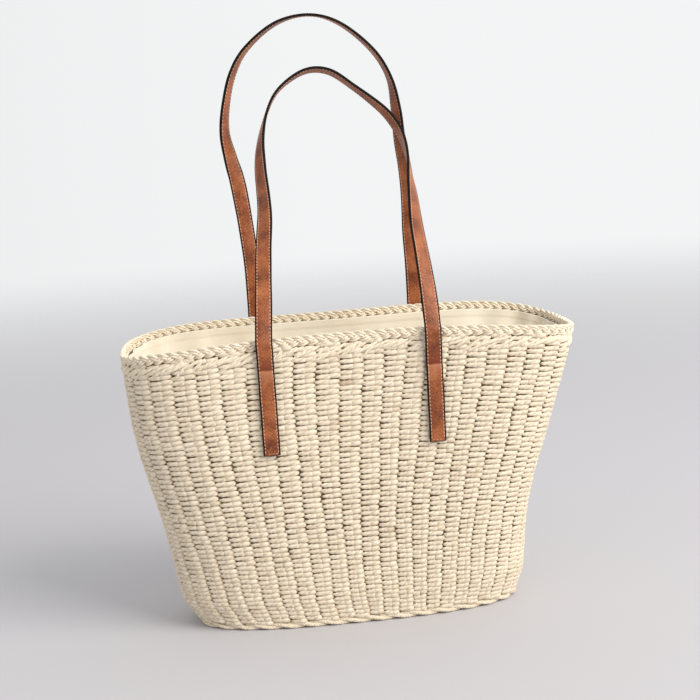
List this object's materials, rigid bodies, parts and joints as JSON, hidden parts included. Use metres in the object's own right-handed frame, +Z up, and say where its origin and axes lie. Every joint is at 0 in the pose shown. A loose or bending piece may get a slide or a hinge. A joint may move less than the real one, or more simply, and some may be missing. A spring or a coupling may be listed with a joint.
{
  "type": "straw basket bag",
  "caption": "Open-topped woven straw basket bag with a plaited rim, a roped foot, a cloth lining and tall leather shoulder handles.",
  "frame": {"origin": "on the surface that the bag stands on, under the middle of its base", "axes": "+X along the mouth, -Y towards the front wall, +Z up"},
  "size_m": [0.4354, 0.1756, 0.5792],
  "materials": {
    "straw": "matte twined straw",
    "cotton": "matte plain cotton",
    "strap_leather": "satin tan leather with black painted edges"
  },
  "bodies": {
    "root": {"basket_body": "straw", "rim_braid": "straw", "base_border": "straw", "lining": "cotton", "front_handle": "strap_leather", "back_handle": "strap_leather"}
  },
  "joints": []
}
